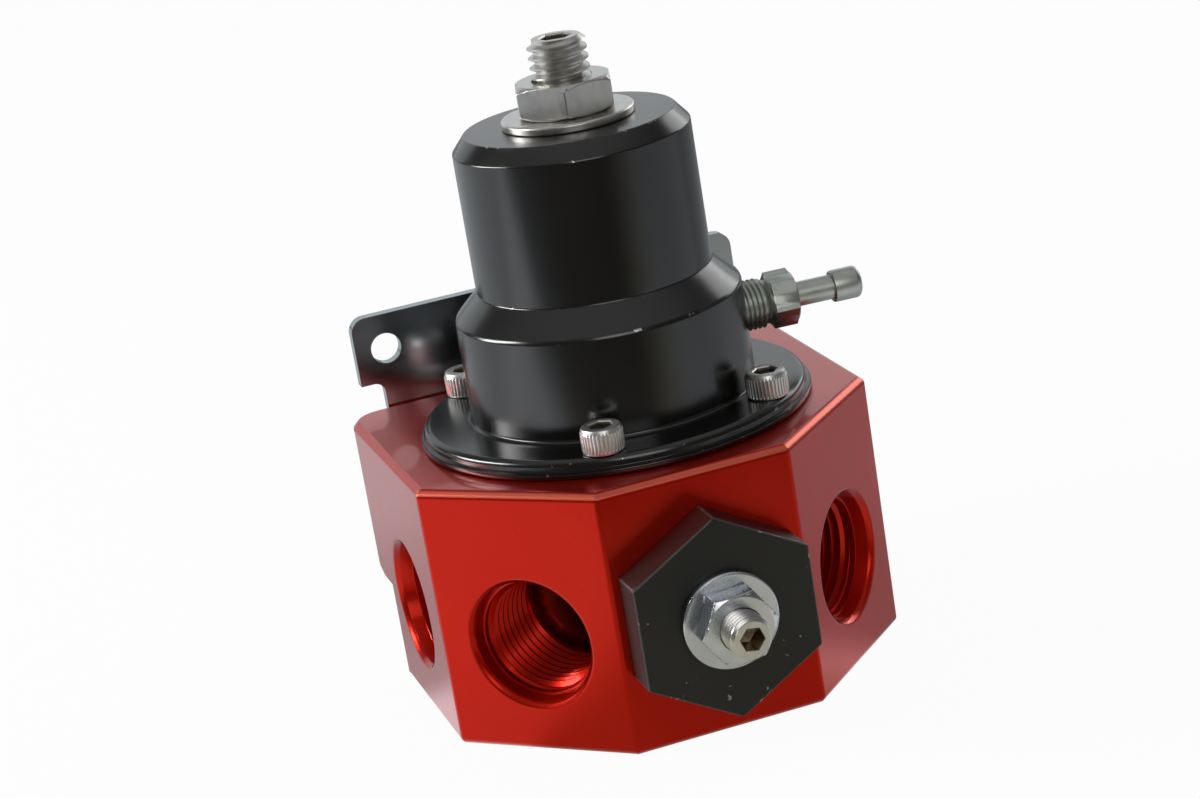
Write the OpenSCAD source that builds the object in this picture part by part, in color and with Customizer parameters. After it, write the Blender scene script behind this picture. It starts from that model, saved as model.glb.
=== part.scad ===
/* [Body] */
// Octagon across flats
body_af = 88.9; // [84:0.1:100]
// Height of the body
body_h = 50.8; // [48:0.1:60]
// Distance of the bonnet axis ahead of the octagon's centre
axis_shift = 2.2; // [0:0.1:2.6]
// Back pad face behind the octagon's centre
pad_back = 35.6; // [35.3:0.1:42]
// Lower back face behind the octagon's centre
low_back = 26.4; // [22:0.1:30]
// Lower edge of the pad's back face
pad_low_z = 23.8; // [20:0.1:27]
// Fall of the sloping ledge under the pad
ledge_drop = 4; // [1:0.1:8]
// Radius of the upright back corners
corner_r = 6.5; // [3:0.1:8]
// Broken edge all round the top and the bottom
edge_break = 1; // [0.4:0.1:2]

/* [Ports] */
// Thread diameter of the side ports and the tuner's port
port_d = 22.2; // [18:0.1:23.4]
// Seat diameter at the mouth of a port
port_seat_d = 25.2; // [24.4:0.1:27]
// Depth of the chamfer at the mouth
port_step = 0.9; // [0.5:0.1:1.1]
// Radial width of that chamfer
port_lip = 0.75; // [0.4:0.05:0.8]
// Depth of the steep conical seat behind the chamfer
port_cone = 2.4; // [1.9:0.1:3]
// Radial taper of the conical seat
port_taper = 0.45; // [0.2:0.05:0.7]
// Depth of the thread from the face
port_len = 20; // [14:0.1:20.4]
// Height of the side ports' axes
port_z = 21.4; // [20.6:0.1:24]
// Side ports' axes behind the octagon's centre
side_port_y = 3; // [1:0.1:6]
// Tapping drill of the side ports
port_tap_d = 20.2; // [17:0.1:21.4]
// Depth of the tapping drill from the face
port_deep = 22; // [20.6:0.1:22.4]
// Drilling from a port to the chamber
port_drill_d = 12; // [8:0.1:12.4]
// Thread diameter of the return port in the base
return_d = 19.05; // [15:0.05:21]
// Depth of the return thread
return_len = 13; // [10:0.1:13.6]
// Chamfer at the mouth of the return port
return_break = 0.8; // [0.3:0.1:0.9]
// Diameter of the slanting bypass drilling
bypass_d = 4; // [2:0.1:4.6]

/* [Chamber] */
// Fuel chamber diameter
chamber_d = 38; // [34:0.1:41]
// Height of the chamber floor
chamber_floor = 15.2; // [14.4:0.1:15.4]
// Diameter of the cup under the diaphragm and of the space above it
cup_d = 45; // [42:0.1:47]
// Depth of that cup
cup_depth = 7.5; // [6:0.1:10]

/* [Valve] */
// Wall between the seat's shank and its O-ring groove
seat_wall = 0.55; // [0.4:0.05:1]
// Lip of the seat's flange outside its O-ring groove
seat_lip = 0.75; // [0.5:0.05:2]
// Flange thickness of the valve seat
seat_flange_t = 3; // [2.4:0.1:4]
// Nozzle diameter of the valve seat
nozzle_d = 10; // [8:0.1:10.8]
// Nozzle bore
nozzle_bore_d = 6.4; // [4:0.1:7]
// Height of the nozzle's lip
nozzle_z = 30; // [26:0.1:33]
// Section diameter of the seat's O-ring
seat_ring_t = 1.7; // [1.2:0.1:1.8]
// Ring diameter of the seat's O-ring, at mid section
seat_ring_d = 15; // [13:0.1:17]
// Diameter of the soft valve disc
disc_d = 11.2; // [11:0.1:12.4]
// Thickness of the soft valve disc
disc_t = 2.5; // [1.8:0.1:4]
// Diameter of the stem's foot
foot_d = 14.4; // [13.4:0.1:17]
// Height of the stem's foot
foot_h = 5; // [3.5:0.1:7]
// Stem diameter below the plates
stem_d = 9; // [7.5:0.1:11]
// Stem diameter through the plates
stem_top_d = 6; // [4:0.1:7]

/* [Diaphragm] */
// Diaphragm diameter
dia_d = 56; // [52:0.1:58]
// Diaphragm thickness
dia_t = 0.9; // [0.5:0.1:1.4]
// Depth of the dish with the valve shut
dia_dish = 1.6; // [1.4:0.1:2.6]
// Diameter of both plates
plate_d = 32; // [29:0.1:36]
// Thickness of both plates
plate_t = 2; // [1.2:0.1:3]
// Height of the spring's guide boss on plate and spring seat
guide_h = 2; // [1:0.1:3]
// Stem nut across flats
stem_nut_af = 10; // [8.5:0.1:13]
// Stem nut height
stem_nut_h = 4.5; // [3:0.1:6]

/* [Bonnet] */
// Flange diameter
flange_d = 74.8; // [73:0.1:75]
// Flange thickness
flange_t = 3.5; // [3:0.1:5]
// Radial step round the flange's rim
rim_step = 0.9; // [0.4:0.1:1.2]
// Height of the rim below that step
rim_h = 1.5; // [1:0.1:2.2]
// Fillet between the flange and the lower cylinder
foot_r = 0.6; // [0.3:0.1:1]
// Lower cylinder diameter
low_d = 54.4; // [53.6:0.1:55]
// Height of the cone's foot above the flange's seat
cone_low = 23; // [21:0.1:24.6]
// Height of the cone's top above the flange's seat
cone_high = 27.6; // [26:0.1:32]
// Upper cylinder diameter
upper_d = 44.6; // [42:0.1:48]
// Height of the bonnet above the body
bonnet_h = 57.2; // [54:0.1:64]
// Top chamfer, measured across
top_cham_r = 2.5; // [1:0.1:3.5]
// Top chamfer, measured down
top_cham_h = 3; // [1:0.1:4]
// Spring bore diameter
spring_bore_d = 31; // [30:0.1:34]
// Thickness of the bonnet's roof
roof_t = 9; // [7:0.1:11]
// Height of the straight wall of the space above the diaphragm
cup_wall = 6; // [4.5:0.1:7]

/* [Flange screws] */
// Bolt circle diameter
bolt_circle_d = 64.8; // [64:0.1:65.4]
// Half of the narrow angle between neighbouring screws
bolt_half_angle = 33; // [28:0.5:45]
// Turn of the screw pattern from the front
bolt_turn = 11.4; // [9:0.1:14]
// Thread diameter
screw_d = 4.83; // [4:0.01:5]
// Head diameter
screw_head_d = 7.92; // [7:0.01:8.2]
// Head height
screw_head_h = 4.83; // [4:0.01:5.2]
// Socket across flats
screw_socket_af = 3.97; // [3:0.01:4.5]
// Thread length in the body
screw_in = 12; // [8:0.1:14]

/* [Spring] */
// Wire diameter
wire_d = 3.2; // [2:0.1:3.6]
// Mean coil diameter
coil_d = 22.8; // [22.4:0.1:23.6]
// Length with the adjuster at rest
spring_len = 27.8; // [24:0.1:34]
// Number of turns
coil_turns = 6; // [5:0.5:7]
// Spring seat diameter
spring_seat_d = 26.8; // [25:0.1:29]
// Spring seat thickness
spring_seat_t = 3.6; // [3:0.1:5]

/* [Adjuster] */
// Thread diameter of the adjusting screw
adj_d = 11.11; // [9:0.01:12]
// Screw above the bonnet's top
adj_out = 15.6; // [12:0.1:20]
// Socket across flats
adj_socket_af = 5.5; // [4:0.1:6]
// Depth of the socket
adj_socket_h = 6; // [4:0.1:8]
// Locknut across flats
adj_nut_af = 17.46; // [15:0.01:19]
// Locknut height
adj_nut_h = 6.35; // [5:0.01:8]
// Turn of the locknut
adj_nut_turn = 14.2; // [0:0.1:60]
// Washer diameter
adj_washer_d = 25; // [22:0.1:30]
// Washer thickness
adj_washer_t = 1.6; // [1:0.1:2.4]

/* [Tuner] */
// Height of the tuner's axis
tuner_z = 24.9; // [23.6:0.1:26]
// Plug across flats
plug_af = 33.3; // [30:0.1:36]
// Outer face of the plug inside its corner chamfers, as a share of the flats
plug_face = 0.565; // [0.48:0.005:0.575]
// Plug hexagon thickness
plug_t = 8.1; // [6:0.1:10]
// Length of the plug's thread in the body
plug_in = 13; // [12.6:0.1:14]
// Depth of the tuner's port
tuner_len = 15; // [14.6:0.1:15.4]
// Neck diameter under the plug's hexagon
neck_d = 19.8; // [17:0.1:20]
// Length of that neck
neck_len = 2.4; // [2.2:0.1:3]
// Section diameter of the plug's O-ring
plug_ring_t = 1.8; // [1.4:0.1:1.9]
// Thread diameter of the tuning screw
tuner_d = 7.94; // [6.4:0.01:8.6]
// Tuning screw outside the body's face
tuner_out = 19.8; // [17.6:0.1:24]
// Smooth bore in the plug's inner end
gland_d = 10; // [9.4:0.1:11]
// Section diameter of the needle's O-ring
needle_ring_t = 1.5; // [1:0.1:1.7]
// Needle diameter
needle_d = 4.4; // [3:0.1:4.5]
// Orifice diameter in the body
orifice_d = 4.8; // [4.7:0.1:6]
// Socket across flats
tuner_socket_af = 3.97; // [3:0.01:4.6]
// Locknut across flats
tuner_nut_af = 12.7; // [11:0.01:14]
// Locknut height
tuner_nut_h = 4.76; // [3.5:0.01:6]
// Turn of the locknut
tuner_nut_turn = 3.5; // [0:0.1:60]
// Washer diameter
tuner_washer_d = 18.2; // [16:0.1:22]
// Washer thickness
tuner_washer_t = 1.6; // [1:0.1:2]

/* [Vacuum barb] */
// Height of the barb's axis above the body
barb_z = 14.6; // [14:0.1:16]
// Direction of the barb from the front, towards the right
barb_angle = 86; // [80:0.5:100]
// Thread diameter
barb_thread_d = 9.7; // [8:0.1:10.4]
// Start of the hexagon, from the bonnet's axis
barb_hex_at = 32.4; // [31:0.1:36]
// Inner end of the thread inside the wall of the space above the diaphragm
barb_past = 2.5; // [1.5:0.1:3]
// Length of the hexagon
barb_hex_len = 5.2; // [4:0.1:7]
// Hexagon across flats
barb_hex_af = 9.53; // [9.5:0.01:11.2]
// Turn of the hexagon
barb_hex_turn = 12; // [0:0.5:60]
// Stem diameter
barb_stem_d = 4.76; // [4:0.01:5.4]
// Length of the stem
barb_stem_len = 7.7; // [6:0.1:12]
// Bead diameter
barb_bead_d = 6.2; // [5.6:0.1:7]
// Bead length
barb_bead_len = 5.6; // [4:0.1:8]
// Air bore
barb_bore_d = 2.4; // [1.5:0.1:3]

/* [Bracket] */
// Plate thickness
bracket_t = 2.5; // [2.2:0.1:3.5]
// End of an ear outside its hole's axis
ear_end = 6.3; // [5:0.1:9]
// Top of the ears above the body
ear_top = 18.8; // [17:0.1:24]
// Underside of the ears above the body
ear_low = 5.1; // [3:0.1:7]
// Corner radius of the ears
ear_r = 3; // [1:0.1:4]
// Width of the plate between the ears and below
web_w = 71.2; // [66:0.1:74]
// Height of the plate's lower edge
bracket_low = 27.6; // [27.2:0.1:29]
// Spacing of the ear holes
ear_hole_pitch = 67.8; // [66:0.1:70]
// Height of the ear holes above the body
ear_hole_z = 11.8; // [10.6:0.1:12.8]
// Diameter of the ear holes
ear_hole_d = 6.1; // [5:0.1:7]
// Spacing of the countersunk screws
fix_pitch = 56; // [50:0.1:58]
// Height of the countersunk screws
fix_z = 36; // [34:0.1:40]
// Thread diameter of the countersunk screws
fix_d = 4.16; // [3.5:0.01:4.8]
// Head diameter of the countersunk screws
fix_head_d = 7.76; // [7:0.01:8.4]
// Half angle of the countersunk head
fix_angle = 41; // [40:1:45]
// Socket across flats of the countersunk screws
fix_socket_af = 2.4; // [2:0.1:3]
// Depth of that socket
fix_socket_h = 1.4; // [1:0.1:2]
// Length of the countersunk screws
fix_len = 12; // [9:0.1:14]

/* [Hidden] */
// Radial clearance of close fits
fit = 0.05;
// Overrun of cutters
over = 1;
// Gap between an O-ring and its groove
ring_gap = 0.1;
half = body_af / 2;
side = half * tan(22.5);
back_y = axis_shift + pad_back;
front_y = axis_shift - half;
ledge_z = pad_low_z - ledge_drop;
ledge_angle = atan(ledge_drop / (pad_back - low_back));
cut = edge_break * sqrt(2);
bonnet_top = body_h + bonnet_h;
flange_top = body_h + flange_t;
center_z = body_h - dia_dish;
plate_top = center_z + plate_t;
guide_top = plate_top + guide_h;
lower_top = center_z - dia_t;
lower_low = lower_top - plate_t;
stem_end = guide_top + stem_nut_h + 1.5;
guide_d = coil_d - wire_d - 0.8;
spring_top = plate_top + spring_len;
button_top = spring_top + spring_seat_t;
dog_d = adj_d * 0.78;
dog_h = 2;
dog_in = 1;
seat_out_d = port_seat_d - 2 * port_lip;
drill_tip = (port_tap_d - port_drill_d) / 2 * tan(31);
seat_shank_d = seat_ring_d - seat_ring_t - 2 * (ring_gap + seat_wall);
seat_flange_d = seat_ring_d + seat_ring_t + 2 * (ring_gap + seat_lip);
bypass_low_y = bypass_d / 2 + 0.5 - return_d / 2;
bypass_low_z = return_len / 4;
bypass_run = bypass_low_y - front_y - tuner_len + bypass_d / 2;
bypass_rise = tuner_z - port_d / 2 + bypass_d / 2 - bypass_low_z;
bypass_len = norm([bypass_run, bypass_rise]);
disc_top = nozzle_z + disc_t;
foot_low = nozzle_z + 1;
groove_w = needle_ring_t + 0.3;
land_d = gland_d - 0.2;
land_out = -8;
land_in = -12.5;
needle_end = -22;
needle_ring_z = -10.2;
needle_ring_d = gland_d - 2 * fit - needle_ring_t;
groove_d = needle_ring_d - needle_ring_t - 2 * fit;
fix_head_h = (fix_head_d - fix_d) / 2 / tan(fix_angle);
ear_w = ear_hole_pitch + 2 * ear_end;
barb_bead_at = barb_hex_at + barb_hex_len + barb_stem_len;
barb_end = barb_bead_at + barb_bead_len;
barb_in = cup_d / 2 - barb_past;
round_fn = 64;
small_fn = 40;

// Frame of a port on the front face: Z runs inward, origin on the face
module port_frame(angle, back, height) {
    translate([0, axis_shift + back, height])
        rotate([0, 0, angle])
            translate([0, -half, 0])
                rotate([-90, 0, 0])
                    children();
}

// Frame of the tuner: Z runs out of the front face, Y upward
module tuner_frame() {
    translate([0, front_y, tuner_z])
        rotate([90, 0, 0])
            children();
}

// Frame of the barb: Z runs out from the bonnet's axis
module barb_frame() {
    translate([0, 0, body_h + barb_z])
        rotate([0, 0, barb_angle - 90])
            rotate([0, 90, 0])
                children();
}

// Places of the flange screws
module at_flange_screws() {
    for (turn = [0, 180], way = [-1, 1])
        rotate([0, 0, bolt_turn + turn + way * bolt_half_angle])
            translate([0, -bolt_circle_d / 2, 0])
                children();
}

// Places of the bracket's screws: Z runs out of the back face
module at_bracket_screws() {
    for (way = [-1, 1])
        translate([way * fix_pitch / 2, back_y, fix_z])
            rotate([-90, 0, 0])
                children();
}

// Ring of round section
module ring(d, section) {
    rotate_extrude($fn = round_fn)
        translate([d / 2, 0])
            circle(d = section, $fn = 24);
}

// Hexagon prism across flats
module hexagon(af, h, turn = 0) {
    rotate([0, 0, turn])
        cylinder(d = af / cos(30), h = h, $fn = 6);
}

// Hexagon with turned chamfers, on the upper end only or on both ends
module turned_hexagon(af, h, turn, both, face = 0.485) {
    face_r = af * face;
    full_r = af / cos(30) / 2 + 0.3;
    rise = (full_r - face_r) * tan(30);
    low_r = both ? face_r : full_r;
    low_rise = both ? rise : 0;
    intersection() {
        hexagon(af, h, turn);
        rotate_extrude($fn = round_fn)
            polygon([[0, 0], [low_r, 0], [full_r, low_rise], [full_r, h - rise], [face_r, h], [0, h]]);
    }
}

// Outline of the body seen from above
module plan(back) {
    polygon([
        [-half, axis_shift + back - corner_r],
        [-half, axis_shift - side],
        [-side, front_y],
        [side, front_y],
        [half, axis_shift - side],
        [half, axis_shift + back - corner_r]
    ]);
    translate([corner_r - half, axis_shift])
        square([2 * (half - corner_r), back]);
    for (way = [-1, 1])
        translate([way * (half - corner_r), axis_shift + back - corner_r])
            circle(r = corner_r, $fn = 48);
}

// Cutter along one straight edge
module edge_cut(length) {
    rotate([45, 0, 0])
        cube([length, cut, cut], center = true);
}

// Cutters all round one end of the outline
module edge_cuts(back) {
    run = half + back - corner_r;
    for (angle = [-45, 0, 45])
        translate([0, axis_shift, 0])
            rotate([0, 0, angle])
                translate([0, -half, 0])
                    edge_cut(2 * half);
    for (way = [-1, 1]) {
        translate([way * half, axis_shift + back - corner_r - run / 2, 0])
            rotate([0, 0, 90])
                edge_cut(run);
        translate([way * (half - corner_r), axis_shift + back - corner_r, 0])
            rotate([0, 0, way > 0 ? 0 : 90])
                rotate_extrude(angle = 90, $fn = 48)
                    translate([corner_r, 0])
                        rotate(45)
                            square(cut, center = true);
    }
    translate([0, axis_shift + back, 0])
        edge_cut(2 * (half - corner_r));
}

// Body without its holes
module body_block() {
    linear_extrude(height = body_h)
        plan(low_back);
    difference() {
        translate([0, 0, ledge_z])
            linear_extrude(height = body_h - ledge_z)
                plan(pad_back);
        translate([-half - over, axis_shift + low_back, ledge_z])
            rotate([ledge_angle, 0, 0])
                translate([0, 0, -pad_back])
                    cube([2 * half + 2 * over, 2 * pad_back, pad_back]);
    }
}

// Threaded port with chamfered mouth and conical seat
module port_cut(depth) {
    cylinder(d = port_d, h = depth, $fn = round_fn);
    cylinder(d1 = port_seat_d, d2 = seat_out_d, h = port_step, $fn = round_fn);
    translate([0, 0, port_step])
        cylinder(d1 = seat_out_d, d2 = seat_out_d - 2 * port_taper, h = port_cone, $fn = round_fn);
    translate([0, 0, -over])
        cylinder(d = port_seat_d, h = over, $fn = round_fn);
}

// Side port with its drilling to the chamber
module side_port() {
    port_cut(port_len);
    cylinder(d = port_tap_d, h = port_deep, $fn = round_fn);
    translate([0, 0, port_deep])
        cylinder(d1 = port_tap_d, d2 = port_drill_d, h = drill_tip, $fn = round_fn);
    cylinder(d = port_drill_d, h = half - chamber_d / 4, $fn = small_fn);
}

// Billet body, red anodised
module body() {
    color([0.75, 0.08, 0.05])
    difference() {
        body_block();
        translate([0, 0, body_h])
            edge_cuts(pad_back);
        edge_cuts(low_back);
        for (angle = [-45, 45])
            port_frame(angle, 0, port_z)
                side_port();
        for (angle = [-90, 90])
            port_frame(angle, side_port_y, port_z)
                side_port();
        port_frame(0, 0, tuner_z) {
            port_cut(tuner_len);
            cylinder(d = orifice_d, h = half - axis_shift - chamber_d / 4, $fn = small_fn);
        }
        translate([0, 0, -over])
            cylinder(d = return_d, h = return_len + over, $fn = round_fn);
        cylinder(d1 = return_d + 2 * return_break, d2 = return_d, h = return_break, $fn = round_fn);
        cylinder(d = seat_shank_d + 2 * fit, h = chamber_floor + over, $fn = round_fn);
        translate([0, bypass_low_y, bypass_low_z])
            rotate([atan2(bypass_run, bypass_rise), 0, 0])
                cylinder(d = bypass_d, h = bypass_len, $fn = small_fn);
        translate([0, 0, chamber_floor])
            cylinder(d = chamber_d, h = body_h, $fn = round_fn);
        translate([0, 0, body_h - cup_depth])
            cylinder(d = cup_d, h = cup_depth + over, $fn = round_fn);
        translate([0, 0, body_h - dia_t])
            cylinder(d = dia_d + 0.4, h = dia_t + over, $fn = round_fn);
        translate([0, 0, body_h - screw_in - over])
            at_flange_screws()
                cylinder(d = screw_d + 2 * fit, h = screw_in + 2 * over, $fn = small_fn);
        at_bracket_screws()
            translate([0, 0, bracket_t - fix_len - over])
                cylinder(d = fix_d + 2 * fit, h = fix_len + over, $fn = small_fn);
    }
}

// Turned bonnet, black anodised
module bonnet() {
    rim_r = flange_d / 2;
    low_r = low_d / 2;
    upper_r = upper_d / 2;
    hole_r = adj_d / 2 + fit;
    bore_r = spring_bore_d / 2;
    cup_r = cup_d / 2;
    color([0.06, 0.06, 0.07])
    difference() {
        translate([0, 0, body_h])
            rotate_extrude($fn = 96)
                polygon([
                    [cup_r, 0],
                    [rim_r - 0.4, 0],
                    [rim_r, 0.4],
                    [rim_r, rim_h - 0.3],
                    [rim_r - 0.3, rim_h],
                    [rim_r - rim_step, rim_h],
                    [rim_r - rim_step, flange_t - 1],
                    [rim_r - rim_step - 0.3, flange_t - 0.4],
                    [rim_r - rim_step - 1, flange_t],
                    [low_r + foot_r, flange_t],
                    [low_r + foot_r * 0.3, flange_t + foot_r * 0.3],
                    [low_r, flange_t + foot_r],
                    [low_r, cone_low - 0.6],
                    [low_r - 0.3, cone_low],
                    [upper_r, cone_high],
                    [upper_r, bonnet_h - top_cham_h],
                    [upper_r - top_cham_r, bonnet_h],
                    [hole_r, bonnet_h],
                    [hole_r, bonnet_h - roof_t],
                    [bore_r, bonnet_h - roof_t],
                    [bore_r, cup_wall + cup_r - bore_r],
                    [cup_r, cup_wall]
                ]);
        translate([0, 0, body_h - over])
            at_flange_screws()
                cylinder(d = screw_d + 0.4, h = flange_t + 2 * over, $fn = small_fn);
        barb_frame() {
            translate([0, 0, barb_in])
                cylinder(d = barb_thread_d + 2 * fit, h = low_d / 2, $fn = small_fn);
            cylinder(d = barb_bore_d + 1.6, h = barb_in + over, $fn = small_fn);
        }
    }
}

// Socket cap screws, stainless
module flange_screws() {
    head_r = screw_head_d / 2;
    color([0.75, 0.75, 0.73])
    translate([0, 0, flange_top])
        at_flange_screws()
            difference() {
                rotate_extrude($fn = small_fn)
                    polygon([
                        [0, -flange_t - screw_in],
                        [screw_d / 2 - 0.5, -flange_t - screw_in],
                        [screw_d / 2, 0.5 - flange_t - screw_in],
                        [screw_d / 2, 0],
                        [head_r - 0.25, 0],
                        [head_r, 0.25],
                        [head_r, screw_head_h - 0.5],
                        [head_r - 0.5, screw_head_h],
                        [0, screw_head_h]
                    ]);
                translate([0, 0, screw_head_h * 0.45])
                    hexagon(screw_socket_af, screw_head_h);
            }
}

// Coarse set screw with hexagon socket and dog point
module adjusting_screw() {
    adj_r = adj_d / 2;
    low = button_top - dog_in;
    high = bonnet_top + adj_out;
    color([0.72, 0.72, 0.7])
    difference() {
        rotate_extrude($fn = round_fn)
            polygon([
                [0, low],
                [dog_d / 2, low],
                [dog_d / 2, low + dog_h],
                [adj_r - 0.6, low + dog_h],
                [adj_r, low + dog_h + 0.6],
                [adj_r, high - 0.9],
                [adj_r - 0.9, high],
                [0, high]
            ]);
        translate([0, 0, high - adj_socket_h])
            hexagon(adj_socket_af, adj_socket_h + over, adj_nut_turn);
    }
}

// Hexagon jam nut
module adjuster_locknut() {
    color([0.78, 0.78, 0.77])
    translate([0, 0, bonnet_top + adj_washer_t])
        difference() {
            turned_hexagon(adj_nut_af, adj_nut_h, adj_nut_turn, true);
            translate([0, 0, -over])
                cylinder(d = adj_d + 2 * fit, h = adj_nut_h + 2 * over, $fn = round_fn);
        }
}

// Flat washer
module washer(d, hole, t) {
    r = d / 2;
    rotate_extrude($fn = round_fn)
        polygon([[hole / 2, 0], [r - 0.2, 0], [r, 0.2], [r, t - 0.3], [r - 0.3, t], [hole / 2, t]]);
}

// Washer under the adjuster's locknut
module adjuster_washer() {
    color([0.7, 0.7, 0.69])
    translate([0, 0, bonnet_top])
        washer(adj_washer_d, adj_d + 0.8, adj_washer_t);
}

// Threaded hose barb with hexagon and bead
module vacuum_barb() {
    thread_r = barb_thread_d / 2;
    stem_r = barb_stem_d / 2;
    bead_r = barb_bead_d / 2;
    color([0.5, 0.5, 0.48])
    barb_frame()
        difference() {
            union() {
                rotate_extrude($fn = small_fn)
                    polygon([
                        [0, barb_in],
                        [thread_r - 0.5, barb_in],
                        [thread_r, barb_in + 0.5],
                        [thread_r, barb_hex_at + 0.5],
                        [stem_r, barb_hex_at + 0.5],
                        [stem_r, barb_bead_at],
                        [bead_r - 0.3, barb_bead_at],
                        [bead_r, barb_bead_at + 0.4],
                        [bead_r, barb_end - 1],
                        [bead_r - 0.35, barb_end - 0.3],
                        [bead_r - 1, barb_end],
                        [0, barb_end]
                    ]);
                translate([0, 0, barb_hex_at])
                    turned_hexagon(barb_hex_af, barb_hex_len, barb_hex_turn, true);
            }
            cylinder(d = barb_bore_d, h = barb_end + over, $fn = small_fn);
        }
}

// Hexagonal plug that carries the tuner, black anodised
module tuner_plug() {
    shank_r = port_d / 2 - fit;
    color([0.07, 0.07, 0.07])
    tuner_frame()
        difference() {
            union() {
                turned_hexagon(plug_af, plug_t, 30, false, plug_face);
                rotate_extrude($fn = round_fn)
                    polygon([
                        [0, -plug_in],
                        [shank_r - 0.8, -plug_in],
                        [shank_r, 0.8 - plug_in],
                        [shank_r, -neck_len - 0.4],
                        [neck_d / 2, -neck_len],
                        [neck_d / 2, 0.2],
                        [0, 0.2]
                    ]);
            }
            translate([0, 0, -plug_in - over])
                cylinder(d = tuner_d + 2 * fit, h = plug_in + plug_t + 2 * over, $fn = small_fn);
            translate([0, 0, -plug_in - over])
                cylinder(d = gland_d, h = plug_in - 2, $fn = round_fn);
        }
}

// O-ring between plug and port seat
module plug_o_ring() {
    color([0.05, 0.05, 0.05])
    tuner_frame()
        translate([0, 0, -plug_ring_t / 2])
            ring(neck_d + plug_ring_t + 2 * fit, plug_ring_t);
}

// Fine set screw whose inner end is a sealed needle
module tuning_screw() {
    thread_r = tuner_d / 2;
    land_r = land_d / 2;
    groove_r = groove_d / 2;
    needle_r = needle_d / 2;
    color([0.74, 0.74, 0.73])
    tuner_frame()
        difference() {
            rotate_extrude($fn = small_fn)
                polygon([
                    [0, needle_end],
                    [needle_r * 0.35, needle_end],
                    [needle_r, land_in - 1.5],
                    [needle_r, land_in],
                    [land_r, land_in],
                    [land_r, needle_ring_z - groove_w / 2],
                    [groove_r, needle_ring_z - groove_w / 2],
                    [groove_r, needle_ring_z + groove_w / 2],
                    [land_r, needle_ring_z + groove_w / 2],
                    [land_r, land_out],
                    [thread_r - 0.5, land_out],
                    [thread_r - 0.5, -5.5],
                    [thread_r, -5],
                    [thread_r, tuner_out - 0.7],
                    [thread_r - 0.7, tuner_out],
                    [0, tuner_out]
                ]);
            translate([0, 0, tuner_out - 4.5])
                hexagon(tuner_socket_af, 6, 20);
        }
}

// O-ring in the needle's groove
module tuner_o_ring() {
    color([0.05, 0.05, 0.05])
    tuner_frame()
        translate([0, 0, needle_ring_z])
            ring(needle_ring_d, needle_ring_t);
}

// Hexagon nut on the tuning screw
module tuner_locknut() {
    color([0.75, 0.76, 0.77])
    tuner_frame()
        translate([0, 0, plug_t + tuner_washer_t])
            difference() {
                turned_hexagon(tuner_nut_af, tuner_nut_h, tuner_nut_turn, true);
                translate([0, 0, -over])
                    cylinder(d = tuner_d + 2 * fit, h = tuner_nut_h + 2 * over, $fn = small_fn);
            }
}

// Washer under the tuner's locknut
module tuner_washer() {
    color([0.72, 0.73, 0.74])
    tuner_frame()
        translate([0, 0, plug_t])
            washer(tuner_washer_d, tuner_d + 0.6, tuner_washer_t);
}

// Outline of the bracket, X across and Y up from the body's base
module bracket_plan() {
    top_y = body_h + ear_top;
    low_y = body_h + ear_low;
    web = web_w / 2;
    ear = ear_w / 2;
    difference() {
        union() {
            translate([-web, bracket_low + ear_r])
                square([2 * web, top_y - bracket_low - ear_r]);
            translate([ear_r - web, bracket_low])
                square([2 * (web - ear_r), 2 * ear_r]);
            translate([ear_r - ear, low_y])
                square([2 * (ear - ear_r), top_y - low_y]);
            translate([-ear, low_y])
                square([2 * ear, top_y - low_y - ear_r]);
            for (way = [-1, 1]) {
                translate([way * (web - ear_r), bracket_low + ear_r])
                    circle(r = ear_r, $fn = small_fn);
                translate([way * (ear - ear_r), top_y - ear_r])
                    circle(r = ear_r, $fn = small_fn);
                translate([way * (web + 0.5), low_y - 0.5])
                    square(3, center = true);
            }
        }
        for (way = [-1, 1])
            translate([way * (web + 2), low_y - 2])
                circle(r = 2, $fn = small_fn);
    }
}

// Flat steel bracket, bright plated
module bracket() {
    hole_r = fix_d / 2 + 3 * fit;
    sink_r = fix_head_d / 2;
    color([0.8, 0.8, 0.8])
    difference() {
        translate([0, back_y + bracket_t, 0])
            rotate([90, 0, 0])
                linear_extrude(height = bracket_t)
                    bracket_plan();
        for (way = [-1, 1])
            translate([way * ear_hole_pitch / 2, back_y - over, body_h + ear_hole_z])
                rotate([-90, 0, 0])
                    cylinder(d = ear_hole_d, h = bracket_t + 2 * over, $fn = small_fn);
        at_bracket_screws()
            rotate_extrude($fn = small_fn)
                polygon([
                    [0, -over],
                    [hole_r, -over],
                    [hole_r, bracket_t - (sink_r - hole_r) / tan(fix_angle)],
                    [sink_r + over * tan(fix_angle), bracket_t + over],
                    [0, bracket_t + over]
                ]);
    }
}

// Countersunk screws of the bracket
module bracket_screws() {
    color([0.6, 0.6, 0.6])
    at_bracket_screws()
        difference() {
            union() {
                translate([0, 0, bracket_t - fix_len])
                    cylinder(d = fix_d, h = fix_len, $fn = small_fn);
                translate([0, 0, bracket_t - fix_head_h])
                    cylinder(d1 = fix_d - 0.04, d2 = fix_head_d - 0.04, h = fix_head_h, $fn = small_fn);
            }
            translate([0, 0, bracket_t - fix_socket_h])
                hexagon(fix_socket_af, fix_socket_h + over);
        }
}

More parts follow.
